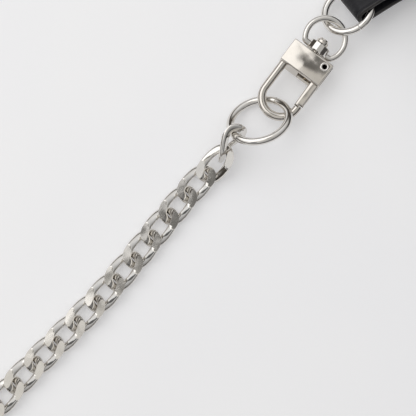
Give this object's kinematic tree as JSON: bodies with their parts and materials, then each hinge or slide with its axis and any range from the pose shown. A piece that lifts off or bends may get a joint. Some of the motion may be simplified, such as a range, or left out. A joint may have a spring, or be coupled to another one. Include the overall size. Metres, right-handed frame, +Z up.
{
  "type": "chain wallet",
  "caption": "Long black leather snap wallet with a zip cover, joined by a leather tab and ring to a nickel curb chain with swivel clasps.",
  "frame": {"origin": "centre of the wallet's flat bottom face", "axes": "+X along the wallet's long side, away from the chain; +Z up out of the front cover"},
  "size_m": [0.3977, 0.1908, 0.019],
  "materials": {
    "black_leather": "smooth black leather with a fine grain",
    "nickel": "bright nickel plate with fine handling marks",
    "spring_steel": "plain drawn wire",
    "lining_cloth": "black woven lining",
    "zip_tape_cloth": "black woven zip tape"
  },
  "bodies": {
    "wallet": {"back_panel": "black_leather", "bill_pocket": "black_leather", "card_slot_1": "black_leather", "card_slot_2": "black_leather", "card_slot_3": "black_leather", "chain_tab": "black_leather", "snap_stud_left": "nickel", "snap_stud_right": "nickel", "snap_post_left": "nickel", "snap_post_right": "nickel"},
    "spine": {"spine": "black_leather"},
    "cover": {"front_cover": "black_leather", "cover_lining": "lining_cloth", "zip_tape": "zip_tape_cloth", "snap_cap_left": "nickel", "snap_cap_right": "nickel", "snap_socket_left": "nickel", "snap_socket_right": "nickel"},
    "zip_slider": {"zip_slider": "nickel"},
    "zip_pull": {"zip_pull": "nickel"},
    "wallet_ring": {"wallet_ring": "nickel"},
    "swivel_ring_a": {"swivel_ring_a": "nickel"},
    "clasp_a": {"clasp_body_a": "nickel", "gate_pin_a": "nickel", "gate_spring_a": "spring_steel", "swivel_post_a": "nickel"},
    "gate_a": {"clasp_gate_a": "nickel"},
    "jump_ring_a": {"jump_ring_a": "nickel"},
    "swivel_ring_b": {"swivel_ring_b": "nickel"},
    "clasp_b": {"clasp_body_b": "nickel", "gate_pin_b": "nickel", "gate_spring_b": "spring_steel", "swivel_post_b": "nickel"},
    "gate_b": {"clasp_gate_b": "nickel"},
    "jump_ring_b": {"jump_ring_b": "nickel"},
    "link_01": {"link_01": "nickel"},
    "link_02": {"link_02": "nickel"},
    "link_03": {"link_03": "nickel"},
    "link_04": {"link_04": "nickel"},
    "link_05": {"link_05": "nickel"},
    "link_06": {"link_06": "nickel"},
    "link_07": {"link_07": "nickel"},
    "link_08": {"link_08": "nickel"},
    "link_09": {"link_09": "nickel"},
    "link_10": {"link_10": "nickel"},
    "link_11": {"link_11": "nickel"},
    "link_12": {"link_12": "nickel"},
    "link_13": {"link_13": "nickel"},
    "link_14": {"link_14": "nickel"},
    "link_15": {"link_15": "nickel"},
    "link_16": {"link_16": "nickel"},
    "link_17": {"link_17": "nickel"},
    "link_18": {"link_18": "nickel"},
    "link_19": {"link_19": "nickel"},
    "link_20": {"link_20": "nickel"},
    "link_21": {"link_21": "nickel"},
    "link_22": {"link_22": "nickel"},
    "link_23": {"link_23": "nickel"},
    "link_24": {"link_24": "nickel"}
  },
  "joints": [
    {"name": "spine_fold", "type": "hinge", "parent": "wallet", "child": "spine", "pos_m": [0, 0.046, 0], "axis": [-1, 0, 0], "range_deg": [0, 88]},
    {"name": "cover_fold", "type": "hinge", "parent": "spine", "child": "cover", "pos_m": [0, 0.046, 0.0166], "axis": [-1, 0, 0], "range_deg": [0, 88]},
    {"name": "zip_slide", "type": "slide", "parent": "cover", "child": "zip_slider", "axis": [1, 0, 0], "range_m": [0, 0.116]},
    {"name": "zip_pull_flip", "type": "hinge", "parent": "zip_slider", "child": "zip_pull", "pos_m": [-0.058, 0.008, 0.0178], "axis": [0, -1, 0], "range_deg": [0, 170]},
    {"name": "gate_a_open", "type": "hinge", "parent": "clasp_a", "child": "gate_a", "pos_m": [-0.13228, 0.01335, 0.00587], "axis": [0.0551, 0.022, -0.9982], "range_deg": [0, 20], "stiffness_Nm_per_rad": 0.006, "springref_deg": -20.05},
    {"name": "gate_b_open", "type": "hinge", "parent": "clasp_b", "child": "gate_b", "pos_m": [-0.26922, -0.12138, 0.00436], "axis": [-0.0537, 0.1265, -0.9905], "range_deg": [0, 20], "stiffness_Nm_per_rad": 0.006, "springref_deg": -20.05},
    {"name": "clasp_a_swivel", "type": "hinge", "parent": "swivel_ring_a", "child": "clasp_a", "pos_m": [-0.136, 0.01756, 0.00576], "axis": [0.9269, 0.3707, 0.0593], "continuous": true},
    {"name": "clasp_b_swivel", "type": "hinge", "parent": "swivel_ring_b", "child": "clasp_b", "pos_m": [-0.27337, -0.12519, 0.0041], "axis": [-0.387, 0.9118, 0.1374], "continuous": true},
    {"name": "wallet_ring_swing", "type": "hinge", "parent": "wallet", "child": "wallet_ring", "pos_m": [-0.10895, 0.02555, 0.0077], "axis": [0, 0.8926, -0.4509], "range_deg": [0, 8]},
    {"name": "swivel_ring_a_swing", "type": "hinge", "parent": "wallet_ring", "child": "swivel_ring_a", "pos_m": [-0.12362, 0.02247, 0.00656], "axis": [-0.2906, 0.8316, -0.4734], "range_deg": [0, 15]},
    {"name": "jump_ring_a_swing", "type": "hinge", "parent": "clasp_a", "child": "jump_ring_a", "pos_m": [-0.1542, 0.01029, 0.0046], "axis": [-0.3714, 0.9285, 0], "range_deg": [0, 3]},
    {"name": "link_01_swing", "type": "hinge", "parent": "jump_ring_a", "child": "link_01", "pos_m": [-0.16755, 0.00995, 0.00806], "axis": [-0.0326, 0.7874, -0.6156], "range_deg": [0, 15]},
    {"name": "jump_ring_b_swing", "type": "hinge", "parent": "link_24", "child": "jump_ring_b", "pos_m": [-0.28608, -0.09744, 0.00806], "axis": [-0.7479, -0.2483, 0.6156], "range_deg": [0, 15]},
    {"name": "swivel_ring_b_swing", "type": "hinge", "parent": "jump_ring_b", "child": "swivel_ring_b", "pos_m": [-0.27971, -0.11421, 0.00453], "axis": [-0.6418, -0.5275, 0.5567], "range_deg": [0, 15]},
    {"name": "link_02_turn", "type": "hinge", "parent": "link_01", "child": "link_02", "pos_m": [-0.17321, 0.00691, 0.00505], "axis": [0, 0, 1], "range_deg": [-5, 12]},
    {"name": "link_03_turn", "type": "hinge", "parent": "link_02", "child": "link_03", "pos_m": [-0.18077, 0.00435, 0.00292], "axis": [0, 0, -1], "range_deg": [-14, 14]},
    {"name": "link_04_turn", "type": "hinge", "parent": "link_03", "child": "link_04", "pos_m": [-0.18908, 0.00204, 0.0021], "axis": [0, 0, 1], "range_deg": [-20, 16]},
    {"name": "link_05_turn", "type": "hinge", "parent": "link_04", "child": "link_05", "pos_m": [-0.19741, -0.0008, 0.0021], "axis": [0, 0, -1], "range_deg": [-16.8, 19.2]},
    {"name": "link_06_turn", "type": "hinge", "parent": "link_05", "child": "link_06", "pos_m": [-0.20569, -0.0038, 0.0021], "axis": [0, 0, 1], "range_deg": [-18, 18]},
    {"name": "link_07_turn", "type": "hinge", "parent": "link_06", "child": "link_07", "pos_m": [-0.21396, -0.00679, 0.0021], "axis": [0, 0, -1], "range_deg": [-19.2, 16.8]},
    {"name": "link_08_turn", "type": "hinge", "parent": "link_07", "child": "link_08", "pos_m": [-0.22229, -0.00963, 0.0021], "axis": [0, 0, 1], "range_deg": [-16, 20]},
    {"name": "link_09_turn", "type": "hinge", "parent": "link_08", "child": "link_09", "pos_m": [-0.2307, -0.0122, 0.0021], "axis": [0, 0, -1], "range_deg": [-20, 16]},
    {"name": "link_10_turn", "type": "hinge", "parent": "link_09", "child": "link_10", "pos_m": [-0.23919, -0.01451, 0.0021], "axis": [0, 0, 1], "range_deg": [-16.8, 19.2]},
    {"name": "link_11_turn", "type": "hinge", "parent": "link_10", "child": "link_11", "pos_m": [-0.24773, -0.01665, 0.0021], "axis": [0, 0, -1], "range_deg": [-18, 18]},
    {"name": "link_12_turn", "type": "hinge", "parent": "link_11", "child": "link_12", "pos_m": [-0.25626, -0.01879, 0.0021], "axis": [0, 0, 1], "range_deg": [-19.2, 16.8]},
    {"name": "link_13_turn", "type": "hinge", "parent": "link_12", "child": "link_13", "pos_m": [-0.26475, -0.02109, 0.0021], "axis": [0, 0, -1], "range_deg": [-16, 20]},
    {"name": "link_14_turn", "type": "hinge", "parent": "link_13", "child": "link_14", "pos_m": [-0.27316, -0.02366, 0.0021], "axis": [0, 0, 1], "range_deg": [-20, 16]},
    {"name": "link_15_turn", "type": "hinge", "parent": "link_14", "child": "link_15", "pos_m": [-0.2813, -0.02691, 0.0021], "axis": [0, 0, -1], "range_deg": [-5, 31]},
    {"name": "link_16_turn", "type": "hinge", "parent": "link_15", "child": "link_16", "pos_m": [-0.28866, -0.03151, 0.0021], "axis": [0, 0, 1], "range_deg": [-31, 5]},
    {"name": "link_17_turn", "type": "hinge", "parent": "link_16", "child": "link_17", "pos_m": [-0.2948, -0.03765, 0.0021], "axis": [0, 0, -1], "range_deg": [-5, 31]},
    {"name": "link_18_turn", "type": "hinge", "parent": "link_17", "child": "link_18", "pos_m": [-0.29941, -0.04502, 0.0021], "axis": [0, 0, 1], "range_deg": [-31, 5]},
    {"name": "link_19_turn", "type": "hinge", "parent": "link_18", "child": "link_19", "pos_m": [-0.30224, -0.05323, 0.0021], "axis": [0, 0, -1], "range_deg": [-5, 31]},
    {"name": "link_20_turn", "type": "hinge", "parent": "link_19", "child": "link_20", "pos_m": [-0.30315, -0.06187, 0.0021], "axis": [0, 0, 1], "range_deg": [-31, 5]},
    {"name": "link_21_turn", "type": "hinge", "parent": "link_20", "child": "link_21", "pos_m": [-0.30209, -0.0705, 0.0021], "axis": [0, 0, -1], "range_deg": [-5, 31]},
    {"name": "link_22_turn", "type": "hinge", "parent": "link_21", "child": "link_22", "pos_m": [-0.29912, -0.07866, 0.0021], "axis": [0, 0, 1], "range_deg": [-31, 5]},
    {"name": "link_23_turn", "type": "hinge", "parent": "link_22", "child": "link_23", "pos_m": [-0.29512, -0.08628, 0.00292], "axis": [0, 0, -1], "range_deg": [-14, 14]},
    {"name": "link_24_turn", "type": "hinge", "parent": "link_23", "child": "link_24", "pos_m": [-0.29057, -0.09284, 0.00505], "axis": [0, 0, 1], "range_deg": [-12, 5]}
  ],
  "couplings": [
    {"joint": "cover_fold", "follows": "spine_fold", "ratio": 1}
  ]
}
